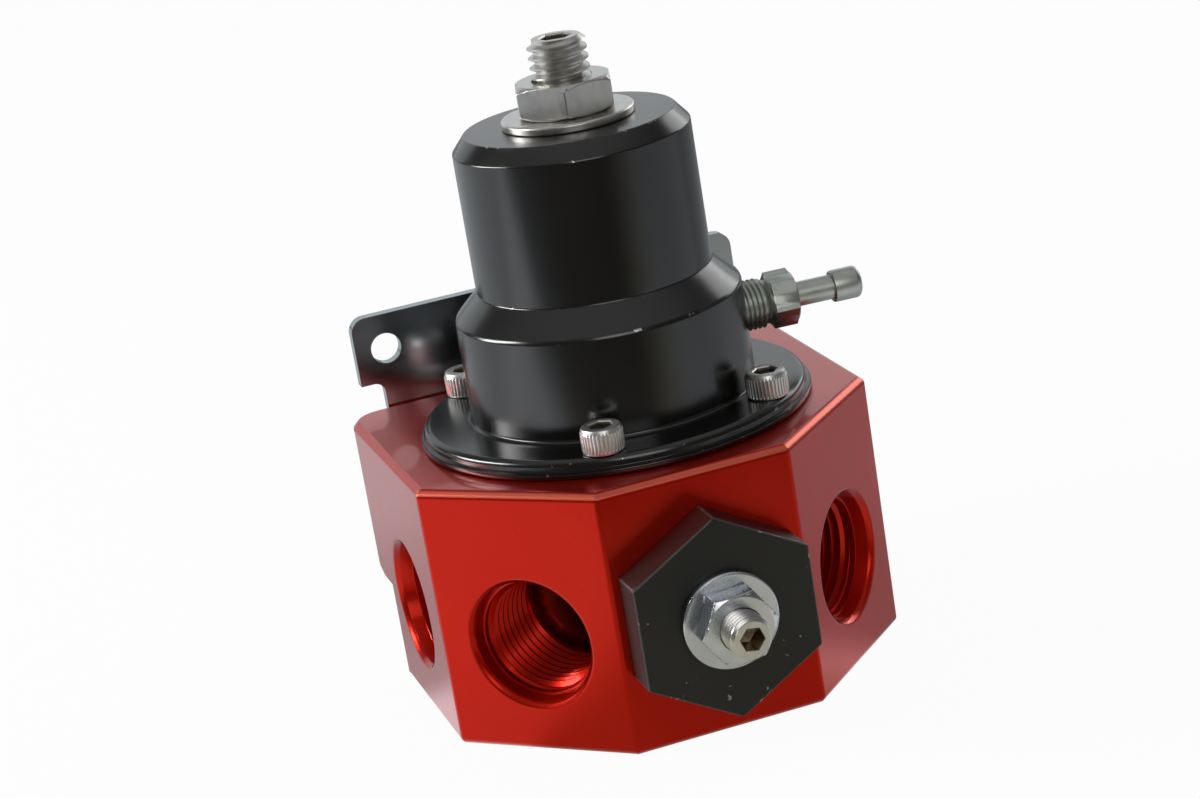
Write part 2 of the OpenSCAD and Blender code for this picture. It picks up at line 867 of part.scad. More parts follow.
// Dished diaphragm of coated fabric
module diaphragm() {
    rim_r = dia_d / 2;
    bend_out = cup_d / 2;
    bend_in = plate_d / 2 + 0.3;
    hole_r = stem_top_d / 2 + fit;
    color([0.1, 0.1, 0.1])
    rotate_extrude($fn = round_fn)
        polygon([
            [hole_r, lower_top],
            [bend_in, lower_top],
            [bend_out, body_h - dia_t],
            [rim_r, body_h - dia_t],
            [rim_r, body_h],
            [bend_out, body_h],
            [bend_in, center_z],
            [hole_r, center_z]
        ]);
}

// Plate above the diaphragm with the spring's guide
module upper_plate() {
    hole_r = stem_top_d / 2 + fit;
    color([0.7, 0.66, 0.45])
    rotate_extrude($fn = round_fn)
        polygon([
            [hole_r, center_z],
            [plate_d / 2, center_z],
            [plate_d / 2, plate_top],
            [guide_d / 2, plate_top],
            [guide_d / 2, guide_top - 0.4],
            [guide_d / 2 - 0.4, guide_top],
            [hole_r, guide_top]
        ]);
}

// Plate below the diaphragm
module lower_plate() {
    hole_r = stem_top_d / 2 + fit;
    color([0.7, 0.66, 0.45])
    rotate_extrude($fn = round_fn)
        polygon([
            [hole_r, lower_low],
            [plate_d / 2 - 0.5, lower_low],
            [plate_d / 2, lower_low + 0.5],
            [plate_d / 2, lower_top],
            [hole_r, lower_top]
        ]);
}

// Valve stem with cupped foot
module stem() {
    color([0.68, 0.68, 0.66])
    rotate_extrude($fn = small_fn)
        polygon([
            [0, disc_top],
            [disc_d / 2 + fit, disc_top],
            [disc_d / 2 + fit, foot_low],
            [foot_d / 2, foot_low],
            [foot_d / 2, nozzle_z + foot_h],
            [stem_d / 2, nozzle_z + foot_h + 1],
            [stem_d / 2, lower_low],
            [stem_top_d / 2, lower_low],
            [stem_top_d / 2, stem_end - 0.5],
            [stem_top_d / 2 - 0.5, stem_end],
            [0, stem_end]
        ]);
}

// Nut that clamps the plates
module stem_nut() {
    color([0.7, 0.7, 0.68])
    translate([0, 0, guide_top])
        difference() {
            turned_hexagon(stem_nut_af, stem_nut_h, 0, true);
            translate([0, 0, -over])
                cylinder(d = stem_top_d + 2 * fit, h = stem_nut_h + 2 * over, $fn = small_fn);
        }
}

// Soft valve disc
module valve_disc() {
    color([0.85, 0.82, 0.72])
    translate([0, 0, nozzle_z])
        cylinder(d = disc_d, h = disc_t, $fn = small_fn);
}

// Flanged nozzle above the return port
module valve_seat() {
    shank_r = seat_shank_d / 2;
    nozzle_r = nozzle_d / 2;
    bore_r = nozzle_bore_d / 2;
    floor_z = chamber_floor;
    ring_in = seat_ring_d / 2 - seat_ring_t / 2 - ring_gap;
    ring_out = seat_ring_d / 2 + seat_ring_t / 2 + ring_gap;
    color([0.72, 0.6, 0.32])
    rotate_extrude($fn = round_fn)
        polygon([
            [bore_r, return_len],
            [shank_r, return_len],
            [shank_r, floor_z],
            [ring_in, floor_z],
            [ring_in, floor_z + seat_ring_t],
            [ring_out, floor_z + seat_ring_t],
            [ring_out, floor_z],
            [seat_flange_d / 2, floor_z],
            [seat_flange_d / 2, floor_z + seat_flange_t],
            [nozzle_r + 1.5, floor_z + seat_flange_t],
            [nozzle_r, floor_z + seat_flange_t + 1.5],
            [nozzle_r, nozzle_z - 1],
            [nozzle_r - 0.6, nozzle_z],
            [bore_r, nozzle_z]
        ]);
}

// O-ring under the nozzle's flange
module seat_o_ring() {
    color([0.05, 0.05, 0.05])
    translate([0, 0, chamber_floor + seat_ring_t / 2])
        ring(seat_ring_d, seat_ring_t);
}

// Height of the wire's centre after a share of all turns: closed end turns, open between them
function wire_z(share) =
    let (turn = share * coil_turns,
         open_turns = coil_turns - 2,
         rise = spring_len - 3 * wire_d,
         mid = min(max(turn - 1, 0), open_turns),
         low = min(turn, 1),
         high = max(turn - coil_turns + 1, 0))
    wire_d / 2 + low * wire_d + mid * rise / open_turns + high * wire_d;

// Compression spring with closed ends
module main_spring() {
    sides = 8;
    steps = ceil(coil_turns * 20);
    points = [
        for (i = [0 : steps], k = [0 : sides - 1])
            let (turn = 360 * coil_turns * i / steps,
                 a = 360 * k / sides,
                 r = coil_d / 2 + wire_d / 2 * cos(a))
            [r * cos(turn), r * sin(turn), plate_top + wire_z(i / steps) + wire_d / 2 * sin(a)]
    ];
    walls = [
        for (i = [0 : steps - 1], k = [0 : sides - 1])
            let (low = i * sides,
                 high = low + sides,
                 next = (k + 1) % sides)
            [low + k, high + k, high + next, low + next]
    ];
    first = [for (k = [0 : sides - 1]) k];
    last = [for (k = [sides - 1 : -1 : 0]) steps * sides + k];
    color([0.5, 0.5, 0.52])
    polyhedron(points = points, faces = concat(walls, [first, last]), convexity = 10);
}

// Spring button under the adjusting screw
module spring_seat() {
    color([0.68, 0.68, 0.66])
    rotate_extrude($fn = round_fn)
        polygon([
            [0, spring_top - guide_h],
            [guide_d / 2 - 0.5, spring_top - guide_h],
            [guide_d / 2, spring_top - guide_h + 0.5],
            [guide_d / 2, spring_top],
            [spring_seat_d / 2, spring_top],
            [spring_seat_d / 2, button_top - 0.6],
            [spring_seat_d / 2 - 0.6, button_top],
            [dog_d / 2 + fit, button_top],
            [dog_d / 2 + fit, button_top - dog_in],
            [0, button_top - dog_in]
        ]);
}

body();
bonnet();
flange_screws();
adjusting_screw();
adjuster_locknut();
adjuster_washer();
vacuum_barb();
tuner_plug();
plug_o_ring();
tuning_screw();
tuner_o_ring();
tuner_locknut();
tuner_washer();
bracket();
bracket_screws();
diaphragm();
upper_plate();
lower_plate();
stem();
stem_nut();
valve_disc();
valve_seat();
seat_o_ring();
main_spring();
spring_seat();
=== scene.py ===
import math

import bmesh
import bpy
from mathutils import Matrix, Vector


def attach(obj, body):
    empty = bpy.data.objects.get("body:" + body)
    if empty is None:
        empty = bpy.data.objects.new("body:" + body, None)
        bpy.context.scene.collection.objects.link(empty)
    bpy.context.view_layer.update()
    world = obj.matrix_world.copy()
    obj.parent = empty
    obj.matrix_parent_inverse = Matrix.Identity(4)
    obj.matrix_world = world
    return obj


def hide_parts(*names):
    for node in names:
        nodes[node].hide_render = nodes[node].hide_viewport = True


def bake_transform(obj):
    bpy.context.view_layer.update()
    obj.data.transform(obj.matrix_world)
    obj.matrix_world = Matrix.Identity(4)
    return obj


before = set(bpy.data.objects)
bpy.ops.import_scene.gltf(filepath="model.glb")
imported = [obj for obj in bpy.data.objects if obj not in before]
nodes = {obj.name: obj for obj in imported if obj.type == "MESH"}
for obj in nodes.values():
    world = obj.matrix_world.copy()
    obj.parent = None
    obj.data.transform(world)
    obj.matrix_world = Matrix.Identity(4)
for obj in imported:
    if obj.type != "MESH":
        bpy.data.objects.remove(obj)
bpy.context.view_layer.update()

# Studio: a plain white table top under soft light from the left and above.
# The table shows white to the camera, dimmer to the part's gloss, and keeps the part's shadow.
# The camera stands in front, a little left and above, and is rolled as the photograph is.
scene = bpy.context.scene
scene.view_settings.view_transform = "Standard"


class Socket:
    """One node output. Sums with numbers or other outputs add Math nodes."""

    def __init__(self, home, out):
        self.home, self.out = home, out

    def math(self, operation, *terms):
        return self.home.add("Math", {"operation": operation}, terms)

    def __add__(self, other):
        return self.math("ADD", self, other)

    def __sub__(self, other):
        return self.math("SUBTRACT", self, other)

    def __rsub__(self, other):
        return self.math("SUBTRACT", other, self)

    def __mul__(self, other):
        return self.math("MULTIPLY", self, other)

    def __gt__(self, other):
        return self.math("GREATER_THAN", self, other)

    def __lt__(self, other):
        return self.math("LESS_THAN", self, other)

    __radd__ = __add__
    __rmul__ = __mul__

    def between(self, low, high):
        """Rises smoothly from 0 at low to 1 at high."""
        limits = {"Value": self, "From Min": low, "From Max": high}
        return self.home.add("MapRange", {"interpolation_type": "SMOOTHSTEP"}, limits)

    def least(self, other):
        return self.math("MINIMUM", self, other)

    def most(self, other):
        return self.math("MAXIMUM", self, other)

    def sine(self):
        return self.math("SINE", self)

    def size(self):
        return self.math("ABSOLUTE", self)

    def part(self, axis):
        return self.home.add("SeparateXYZ", {}, [self], out=axis)

    def reach(self, other):
        """Distance from an axis, from the two offsets across it."""
        return self.math("SQRT", self * self + other * other)


class Tree:
    """A node tree. One method adds any node: its type, its settings, then its values or links."""

    def __init__(self, tree):
        self.tree = tree

    def add(self, kind, settings, sockets, out=0):
        whole_name = kind.startswith(("Geometry", "NodeGroup"))
        node = self.tree.nodes.new(kind if whole_name else "ShaderNode" + kind)
        for name, value in settings.items():
            if name == "stops":
                ramp = node.color_ramp.elements
                while len(ramp) < len(value):
                    ramp.new(0.5)
                for stop, (place, shade) in zip(ramp, value):
                    stop.position, stop.color = place, (*shade, 1)
            else:
                setattr(node, name, value)
        pairs = sockets.items() if isinstance(sockets, dict) else enumerate(sockets)
        for name, value in pairs:
            self.put(node.inputs[name], value)
        return Socket(self, node.outputs[out]) if node.outputs else None

    def put(self, socket, value):
        if isinstance(value, Socket):
            self.tree.links.new(value.out, socket)
        else:
            socket.default_value = value


class Finish(Tree):
    """A material or world, with the fixed values of its closing shader set on the shader itself."""

    def __init__(self, owner, kind=None, fixed=None):
        owner.use_nodes = True
        super().__init__(owner.node_tree)
        self.owner = owner
        self.tree.nodes.clear()
        target = "World" if isinstance(owner, bpy.types.World) else "Material"
        self.end = self.tree.nodes.new("ShaderNodeOutput" + target)
        if kind:
            self.shader = self.tree.nodes.new("ShaderNode" + kind)
            for name, value in fixed.items():
                self.shader.inputs[name].default_value = value
            self.tree.links.new(self.shader.outputs[0], self.end.inputs["Surface"])

    def feed(self, name, value):
        self.put(self.shader.inputs[name], value)

    def close(self, shader):
        self.put(self.end.inputs["Surface"], shader)

    def place(self):
        return self.add("TexCoord", {}, {}, out="Object")

    def noise(self, where, scale, detail=3.0, rough=0.55):
        values = {"Vector": where, "Scale": scale, "Detail": detail, "Roughness": rough}
        return self.add("TexNoise", {}, values)

    def ramp(self, value, *stops):
        return self.add("ValToRGB", {"stops": stops}, [value])

    def blend(self, share, low, high):
        return self.add("Mix", {"data_type": "RGBA"}, {0: share, 6: low, 7: high}, out=2)

    def stretch(self, where, scale):
        return self.add("VectorMath", {"operation": "MULTIPLY"}, {0: where, 1: scale})

    def bump(self, height, strength, depth):
        values = {"Strength": strength, "Distance": depth, "Height": height}
        self.feed("Normal", self.add("Bump", {}, values))


def finish(name, **fixed):
    return Finish(bpy.data.materials.new(name), "BsdfPrincipled", fixed)


# Painted reflection: the table's glow, as the part's gloss sees it, is painted dimmer in front, close by
# and to the right, and warmer in front.
table_white = Finish(bpy.data.materials.new("table_white"))
spot = table_white.place()
camera_ray = table_white.add("LightPath", {}, {}, out="Is Camera Ray")
gloss_ray = table_white.add("LightPath", {}, {}, out="Is Glossy Ray")
glass_ray = table_white.add("LightPath", {}, {}, out="Is Transmission Ray")
east, north = spot.part(0), spot.part(1)
bearing = east.math("ARCTAN2", east, 0 - north)
reach = east.reach(north)
far_front = (1 - (north + east * 0.23).between(-0.178, -0.142)) * (1 - bearing.between(0.1, 0.75))
near_front = bearing.between(-1.0, -0.8) * (1 - bearing.between(0.3, 0.9))
near_right = bearing.between(0.75, 1.15) * (1 - reach.between(0.1, 0.24))
near_left = (1 - bearing.between(-1.95, -1.65)) * (1 - reach.between(0.06, 0.15))
front_loss = 0.52 - reach.between(0.08, 0.16) * 0.24
right_loss = 0.52 - reach.between(0.06, 0.13) * 0.2
side_fall = (1.18 - east.between(-0.25, 0.35) * 0.75) * (1 - north.between(0.0, 0.1) * 0.4)
dim = side_fall * (1 - far_front * 0.9) * (1 - near_front * front_loss)
dim = dim * (1 - near_right * right_loss) * (1 - near_left * 0.5)
cool, warm, white = (0.97, 1.03, 1.08, 1), (1.04, 1.0, 0.84, 1), (1, 1, 1, 1)
tint = table_white.blend(near_front, cool, warm)
lit = table_white.blend(camera_ray, table_white.stretch(tint, dim), white)
cloth = table_white.add("BsdfDiffuse", {}, {"Color": (0.86, 0.86, 0.86, 1)})
glow = table_white.add("Emission", {}, {"Color": lit, "Strength": 1.0})
glowing = (camera_ray + gloss_ray + glass_ray).least(1.0) * 0.96
table_white.close(table_white.add("MixShader", {}, [glowing, cloth, glow]))

table_r, table_sides = 2.4, 64
table = bpy.data.objects.new("table", bpy.data.meshes.new("table"))
angles = [math.tau * i / table_sides for i in range(table_sides)]
edge = [(table_r * math.cos(a), table_r * math.sin(a), 0.0) for a in angles]
table.data.from_pydata(edge, [], [tuple(range(table_sides))])
table.data.materials.append(table_white.owner)
scene.collection.objects.link(table)

room = bpy.data.worlds.new("room")
scene.world = room
walls = Finish(room, "Background", {"Color": white})
overhead = walls.add("TexCoord", {}, {}, out="Generated").part(2)
seen = walls.add("LightPath", {}, {}, out="Is Camera Ray")
walls.feed("Strength", (0.1 + overhead.between(0.55, 0.97) * 0.3) * (1 - seen) + seen)


def softbox(name, place, aim, width, height, watts, colour=(1, 1, 1), roll=0.0):
    lamp = bpy.data.lights.new(name, "AREA")
    lamp.shape, lamp.size, lamp.size_y = "RECTANGLE", width, height
    lamp.energy, lamp.color = watts, colour
    box = bpy.data.objects.new(name, lamp)
    box.location = place
    box.rotation_euler = (Vector(aim) - Vector(place)).to_track_quat("-Z", "Y").to_euler()
    box.rotation_euler.rotate_axis("Z", math.radians(roll))
    box.visible_camera = False
    scene.collection.objects.link(box)


softbox("back_panel", (0.3, 1.3, 0.55), (0, 0, 0.2), 2.4, 0.9, 4.6, colour=(0.9, 0.97, 1.0))
softbox("left_box", (-0.8, 0.29, 0.42), (0, 0, 0.03), 0.56, 0.2, 6.0, roll=40.0)
softbox("front_fill", (-0.1, -1.0, 0.62), (0, 0, 0.05), 0.6, 0.6, 2.0)
softbox("right_box", (0.9, 0.5, 0.4), (0, 0, 0.05), 0.5, 0.5, 1.5)

eye = bpy.data.objects.new("camera", bpy.data.cameras.new("camera"))
eye.data.sensor_width = 36.0
eye.data.lens = 88.1261
eye.location = (-0.14442, -0.51101, 0.22253)
eye.rotation_euler = (1.258848, 0.157044, -0.3207)
eye.data.clip_start, eye.data.clip_end = 0.01, 20
scene.collection.objects.link(eye)
scene.camera = eye

# Body: the octagonal block that the fuel runs through, with four side ports and one in its base.
# Milled from aluminium bar, its upright and upper edges broken, then dyed and anodised red.
# The other pieces screw into it, bolt to it or sit inside it.
half_flats, octagon_y = 0.04445, 0.0022
dye_dark, dye_light = (0.52, 0.011, 0.002, 1), (0.58, 0.014, 0.003, 1)
chamber_shade, edge_shine, dust_shade = (0.02, 0.002, 0.001, 1), (0.9, 0.2, 0.13, 1), (0.6, 0.06, 0.03, 1)
sheen = {"Specular IOR Level": 0.2, "Coat Roughness": 0.07, "Coat IOR": 1.22}
red = finish("red_anodised", Metallic=0.8, **sheen)
spot = red.place()
cloud = red.noise(spot, 38.0, 2.0)
grain = red.noise(spot, 1900.0, 2.0)
mill = red.noise(red.stretch(spot, (60.0, 60.0, 5200.0)), 1.0, 2.0)
dust = red.noise(spot, 900.0, 1.0) > 0.76
dye_and_painted_light = red.blend(red.ramp(cloud, (0.35, (0, 0, 0)), (0.7, (1, 1, 1))), dye_dark, dye_light)
east, north, up = spot.part(0), spot.part(1) - octagon_y, spot.part(2)
# Painted shade: deep in the bores and the chamber the red is coloured near black.
deep = (1 - east.reach(north).between(0.0205, 0.0265)) * up.between(0.001, 0.004)
dye_and_painted_light = red.blend(deep * 0.85, dye_and_painted_light, chamber_shade)
# Painted highlight: a light red line along the upper edges of the front faces.
upper_edge = up.between(0.0496, 0.0499) * (1 - up.between(0.0505, 0.0507))
front_part = 1 - north.between(-0.019, -0.016)
dye_and_painted_light = red.blend(upper_edge * front_part * 0.7, dye_and_painted_light, edge_shine)
red.feed("Base Color", red.blend(dust * 0.2, dye_and_painted_light, dust_shade))
red.feed("Roughness", 0.24 + cloud * 0.08 + grain * 0.06 + deep * 0.2)
turned_away = red.add("LayerWeight", {}, {"Blend": 0.5}, out="Facing")
red.feed("Coat Weight", (0.3 + turned_away.between(0.25, 0.5) * 0.6 + cloud * 0.1) * (1 - deep * 0.8))
red.bump(mill * 0.6 + grain * 0.4, 0.12, 0.00004)


def dress(node, skin, edge=0.0, steps=2, limit=25.0, clamp=True):
    """Gives a CAD piece its finish, smooth faces and, where asked, softly broken edges."""
    piece = nodes[node]
    piece.data.materials.clear()
    piece.data.materials.append(skin.owner)
    weld = piece.modifiers.new("weld", "WELD")
    weld.merge_threshold = 0.000002
    if edge:
        broken = piece.modifiers.new("broken_edges", "BEVEL")
        broken.width, broken.segments = edge, steps
        broken.limit_method, broken.angle_limit = "ANGLE", math.radians(limit)
        broken.use_clamp_overlap = clamp
        broken.harden_normals = False
    even = piece.modifiers.new("even_normals", "WEIGHTED_NORMAL")
    even.keep_sharp = True
    return piece


# The bevel reads a weight, so only edges that turn by about 45 degrees, ahead of the back pad, are broken.
slant, slant_margin, rear_limit = math.radians(47.7), math.radians(5.5), 0.0215
block = dress("body", red, edge=0.0005, steps=4, clamp=False)
chosen = Tree(bpy.data.node_groups.new("slant_edges", "GeometryNodeTree"))
for way in ("INPUT", "OUTPUT"):
    chosen.tree.interface.new_socket("Geometry", in_out=way, socket_type="NodeSocketGeometry")
bend = chosen.add("GeometryNodeInputMeshEdgeAngle", {}, {}, out="Signed Angle")
north = chosen.add("GeometryNodeInputPosition", {}, {}).part(1)
slanting = bend.math("COMPARE", bend, slant, slant_margin)
weighted = {
    "Geometry": chosen.add("NodeGroupInput", {}, {}),
    "Name": "bevel_weight_edge",
    "Value": slanting * (north < rear_limit),
}
on_edges = {"data_type": "FLOAT", "domain": "EDGE"}
chosen.add("NodeGroupOutput", {}, [chosen.add("GeometryNodeStoreNamedAttribute", on_edges, weighted)])
block.modifiers.new("slant_edges", "NODES").node_group = chosen.tree
block.modifiers.move(len(block.modifiers) - 1, 1)
block.modifiers["broken_edges"].limit_method = "WEIGHT"


# Port threads: the fine threads cut in the four side ports and in the return port below.
# Tapped in the red body, with a smooth conical mouth where a fitting's O-ring seats.
class Mesh:
    """Collects rings and screw surfaces about the Z axis into one piece."""

    def __init__(self, name, where=None):
        self.name, self.where, self.bm = name, where or Matrix.Identity(4), bmesh.new()

    def ring(self, points):
        return [self.bm.verts.new(p) for p in points]

    def bridge(self, low, high):
        sides = len(low)
        for i in range(sides):
            after = (i + 1) % sides
            self.bm.faces.new((low[i], low[after], high[after], high[i]))

    def stack(self, rings, cap_low=True, cap_high=True):
        made = [self.ring(r) for r in rings]
        for low, high in zip(made, made[1:]):
            self.bridge(low, high)
        if cap_low:
            self.bm.faces.new(made[0][::-1])
        if cap_high:
            self.bm.faces.new(made[-1])

    def thread(self, low, high, pitch, root, crest, sides, run_in, run_out):
        """A screw surface along the helix. Its crest falls to the root over run_in and run_out turns."""
        profile = ((0.0, 0), (0.2, 0), (0.5, 1), (0.68, 1))
        turns = math.ceil((high - low) / pitch) + 2
        rows = []
        for i in range(-sides, turns * sides + 1):
            angle = math.tau * i / sides
            row = []
            for offset, top in profile:
                z = min(max(low + pitch * (i / sides + offset), low), high)
                fade = min((z - low) / (run_in * pitch), (high - z) / (run_out * pitch), 1.0)
                r = root + (crest - root) * top * max(fade, 0.0)
                row.append(self.bm.verts.new((r * math.cos(angle), r * math.sin(angle), z)))
            rows.append(row)
        for i, (row, after) in enumerate(zip(rows, rows[1:])):
            for k in range(3):
                self.bm.faces.new((row[k], after[k], after[k + 1], row[k + 1]))
            if i + sides + 1 < len(rows):
                self.bm.faces.new((row[3], after[3], rows[i + 1 + sides][0], rows[i + sides][0]))

    def make(self, skin, body, stands_for=(), inward=False, smooth=35.0):
        bmesh.ops.remove_doubles(self.bm, verts=self.bm.verts, dist=0.0000015)
        bmesh.ops.dissolve_degenerate(self.bm, edges=self.bm.edges, dist=0.0000005)
        bmesh.ops.recalc_face_normals(self.bm, faces=self.bm.faces)
        if inward:
            bmesh.ops.reverse_faces(self.bm, faces=self.bm.faces)
        self.bm.transform(self.where)
        mesh = bpy.data.meshes.new(self.name)
        self.bm.to_mesh(mesh)
        self.bm.free()
        mesh.materials.append(skin.owner)
        mesh.shade_smooth()
        mesh.set_sharp_from_angle(angle=math.radians(smooth))
        piece = bpy.data.objects.new(self.name, mesh)
        scene.collection.objects.link(piece)
        if stands_for:
            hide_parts(*stands_for)
        if body:
            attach(piece, body)
        return piece


def circle(r, z, sides):
    angles = [math.tau * i / sides for i in range(sides)]
    return [(r * math.cos(a), r * math.sin(a), z) for a in angles]


def circles(sides, *rows):
    return [circle(r, z, sides) for r, z in rows]


def facing(angle, place):
    """Frame whose Z looks out of the body, angle degrees round from the front."""
    a = math.radians(angle)
    out, up = Vector((math.sin(a), -math.cos(a), 0)), Vector((0, 0, 1))
    across = up.cross(out)
    turn = Matrix((across, up, out)).transposed().to_4x4()
    return Matrix.Translation(place) @ turn


inch = 0.0254
port_pitch, return_pitch = inch / 14, inch / 16
port_height, set_back, tap_sides, mouth_sides = 0.0214, 0.003, 72, 96
tap_start, tap_end, tap_root, tap_crest = -0.0198, -0.0044, 0.01107, 0.01025
return_low, return_high, return_root, return_crest = 0.0010, 0.0128, 0.0095, 0.00882
seat_cone = ((0.01137, -0.00325), (0.01182, -0.00095), (0.01250, -0.00012))
mouth_rows = ((0.01108, tap_end), (0.01108, -0.0034), *seat_cone)
front_ports = (("front_left", -45, 0), ("front_right", 45, 0))
side_ports = (("left", -90, set_back), ("right", 90, set_back))
for label, angle, back in (*front_ports, *side_ports):
    a = math.radians(angle)
    mouth = (half_flats * math.sin(a), octagon_y + back - half_flats * math.cos(a), port_height)
    cut = Mesh("thread_" + label, facing(angle, mouth))
    cut.thread(tap_start, tap_end, port_pitch, tap_root, tap_crest, tap_sides, 0.3, 0.6)
    cut.stack(circles(mouth_sides, *mouth_rows), cap_low=False, cap_high=False)
    cut.make(red, "housing", inward=True, smooth=20.0)
cut = Mesh("thread_return")
cut.thread(return_low, return_high, return_pitch, return_root, return_crest, tap_sides, 0.4, 0.4)
cut.make(red, "housing", inward=True)

# Valve seat: a flanged brass nozzle above the return port, sealed by an O-ring.
# Turned from bar, its lip lapped flat where the valve disc closes on it.
brass = finish("seat_brass", Metallic=1.0)
spot = brass.place()
rings = (spot.part(2) * 26000.0).sine() * 0.5 + 0.5
cloud = brass.noise(spot, 300.0)
brass.feed("Base Color", brass.blend(cloud, (0.62, 0.44, 0.17, 1), (0.78, 0.6, 0.29, 1)))
brass.feed("Roughness", 0.22 + cloud * 0.14)
brass.bump(rings, 0.15, 0.00003)
dress("valve_seat", brass, edge=0.00012)

# O-rings: one under the nozzle's flange, one under the tuner plug and one on the needle.
# Moulded in black fuel-proof rubber, each squeezed in its groove.
rubber = finish("rubber", IOR=1.5)
spot = rubber.place()
cloud = rubber.noise(spot, 240.0)
grain = rubber.noise(spot, 2600.0)
rubber.feed("Base Color", rubber.blend(cloud, (0.012, 0.012, 0.012, 1), (0.03, 0.03, 0.029, 1)))
rubber.feed("Roughness", 0.5 + grain * 0.2)
rubber.bump(grain, 0.2, 0.00003)
for node in ("seat_o_ring", "plug_o_ring", "tuner_o_ring"):
    dress(node, rubber)

# Valve stem, its nut and the spring button: the turned pieces of the valve and its spring.
# Plain steel from the lathe. The nut clamps the plates and the diaphragm on the stem.
turned = finish("inner_steel", Metallic=1.0)
spot = turned.place()
rings = (spot.part(2) * 30000.0).sine() * 0.5 + 0.5
cloud = turned.noise(spot, 260.0)
turned.feed("Base Color", turned.blend(cloud, (0.46, 0.46, 0.44, 1), (0.62, 0.62, 0.6, 1)))
turned.feed("Roughness", 0.26 + cloud * 0.16)
turned.bump(rings, 0.12, 0.00003)
for node in ("stem", "stem_nut", "spring_seat"):
    dress(node, turned, edge=0.00015)

# Diaphragm plates: the upper and lower plate that hold the diaphragm's middle.
# Pressed steel, yellow passivated; the spring stands on the upper one.
yellow = finish("inner_plate", Metallic=0.85)
spot = yellow.place()
tint = yellow.noise(spot, 120.0)
straw, pale, dull = (0.62, 0.54, 0.3), (0.7, 0.64, 0.42), (0.58, 0.56, 0.46)
yellow.feed("Base Color", yellow.ramp(tint, (0.3, straw), (0.55, pale), (0.75, dull)))
yellow.feed("Roughness", 0.3 + tint * 0.15)
yellow.bump(yellow.noise(spot, 1500.0), 0.1, 0.00003)
for node in ("upper_plate", "lower_plate"):
    dress(node, yellow, edge=0.00015)

# Valve disc: the soft disc that closes on the nozzle's lip.
# Cut from pale fuel-proof plastic and pressed into the stem's cupped foot.
soft = finish("valve_plastic", IOR=1.5)
spot = soft.place()
tint = soft.noise(spot, 300.0)
soft.feed("Base Color", soft.blend(tint, (0.72, 0.68, 0.55, 1), (0.84, 0.81, 0.7, 1)))
soft.feed("Roughness", 0.42 + tint * 0.15)
soft.bump(soft.noise(spot, 1800.0), 0.1, 0.00003)
dress("valve_disc", soft, edge=0.00015)

# Diaphragm: a dished disc of coated fabric, clamped at its rim under the bonnet.
# Moulded rubber on cloth; its middle lifts with the plates while the rim stays put.
woven = finish("coated_fabric", IOR=1.5)
spot = woven.place()
threads = ((spot.part(0) * 9000.0).sine() * (spot.part(1) * 9000.0).sine()) * 0.5 + 0.5
woven.feed("Base Color", woven.blend(threads, (0.012, 0.012, 0.012, 1), (0.035, 0.034, 0.032, 1)))
woven.feed("Roughness", 0.55 + threads * 0.15)
woven.bump(threads, 0.35, 0.00006)

sheet_gauge, sheet_sides = 0.0009, 96
dished_middle = ((0.00305, 0.0492), (0.0163, 0.0492), (0.0178, 0.04935))
clamped_rim = ((0.0210, 0.05058), (0.0225, 0.0508), (0.0280, 0.0508))
top_line = (*dished_middle, *clamped_rim)
low_line = [(r, z - sheet_gauge) for r, z in reversed(top_line)]
sheet = Mesh("dished_diaphragm")
made = [sheet.ring(points) for points in circles(sheet_sides, *top_line, *low_line)]
for low, high in zip(made, made[1:] + made[:1]):
    sheet.bridge(low, high)
dish = sheet.make(woven, None, ("diaphragm",))
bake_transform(dish)

# Main spring: closed-end compression spring between the upper plate and the spring button.
# Cold-wound from drawn wire; it shortens as the adjusting screw drives the button down.
# It is made as two pieces, its lower turns and its upper turns.
wire = finish("spring_steel", Metallic=1.0)
spot = wire.place()
scale = wire.noise(wire.stretch(spot, (300.0, 300.0, 1600.0)), 1.0)
wire.feed("Base Color", wire.blend(scale, (0.3, 0.3, 0.31, 1), (0.48, 0.48, 0.49, 1)))
wire.feed("Roughness", 0.28 + scale * 0.2)
wire.bump(scale, 0.12, 0.00003)

wire_d, coil_r, turns, length, spring_foot = 0.0032, 0.0114, 6, 0.0278, 0.0512
turn_steps, wire_sides = 48, 16
rise = (length - 3 * wire_d) / (turns - 2)
sections = []
for i in range(turns * turn_steps + 1):
    turn = i / turn_steps
    closed_low, closed_high = min(turn, 1), max(turn - turns + 1, 0)
    free = min(max(turn - 1, 0), turns - 2)
    z = spring_foot + wire_d / 2 + closed_low * wire_d + free * rise + closed_high * wire_d
    section = []
    for k in range(wire_sides):
        a = math.tau * k / wire_sides
        r = coil_r + wire_d / 2 * math.cos(a)
        height = min(max(z + wire_d / 2 * math.sin(a), spring_foot), spring_foot + length)
        section.append((r * math.cos(math.tau * turn), r * math.sin(math.tau * turn), height))
    sections.append(section)
split = turn_steps * 3 // 2
lower_turns = Mesh("spring_lower_turns")
lower_turns.stack(sections[: split + 1])
foot = lower_turns.make(wire, None, ("main_spring",), smooth=50.0)
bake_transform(foot)
upper_turns = Mesh("spring_upper_turns")
upper_turns.stack(sections[split:])
coil = upper_turns.make(wire, None, ("main_spring",), smooth=50.0)
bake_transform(coil)

# Bonnet: the stepped cover that clamps the diaphragm and guides the spring.
# Turned from aluminium bar, black anodised to a satin sheen, with small bright nicks on its edges.
# Four cap screws hold its flange to the body.
black = finish("black_anodised", IOR=1.7)
spot = black.place()
up = spot.part(2)
radius = spot.part(0).reach(spot.part(1))
cloud = black.noise(spot, 55.0, 3.0)
grain = black.noise(spot, 2400.0, 2.0)
tool = ((radius + up) * 21000.0 + cloud * 6.0).sine() * 0.5 + 0.5


def nearest(gaps):
    near = gaps[0]
    for gap in gaps[1:]:
        near = near.least(gap)
    return near


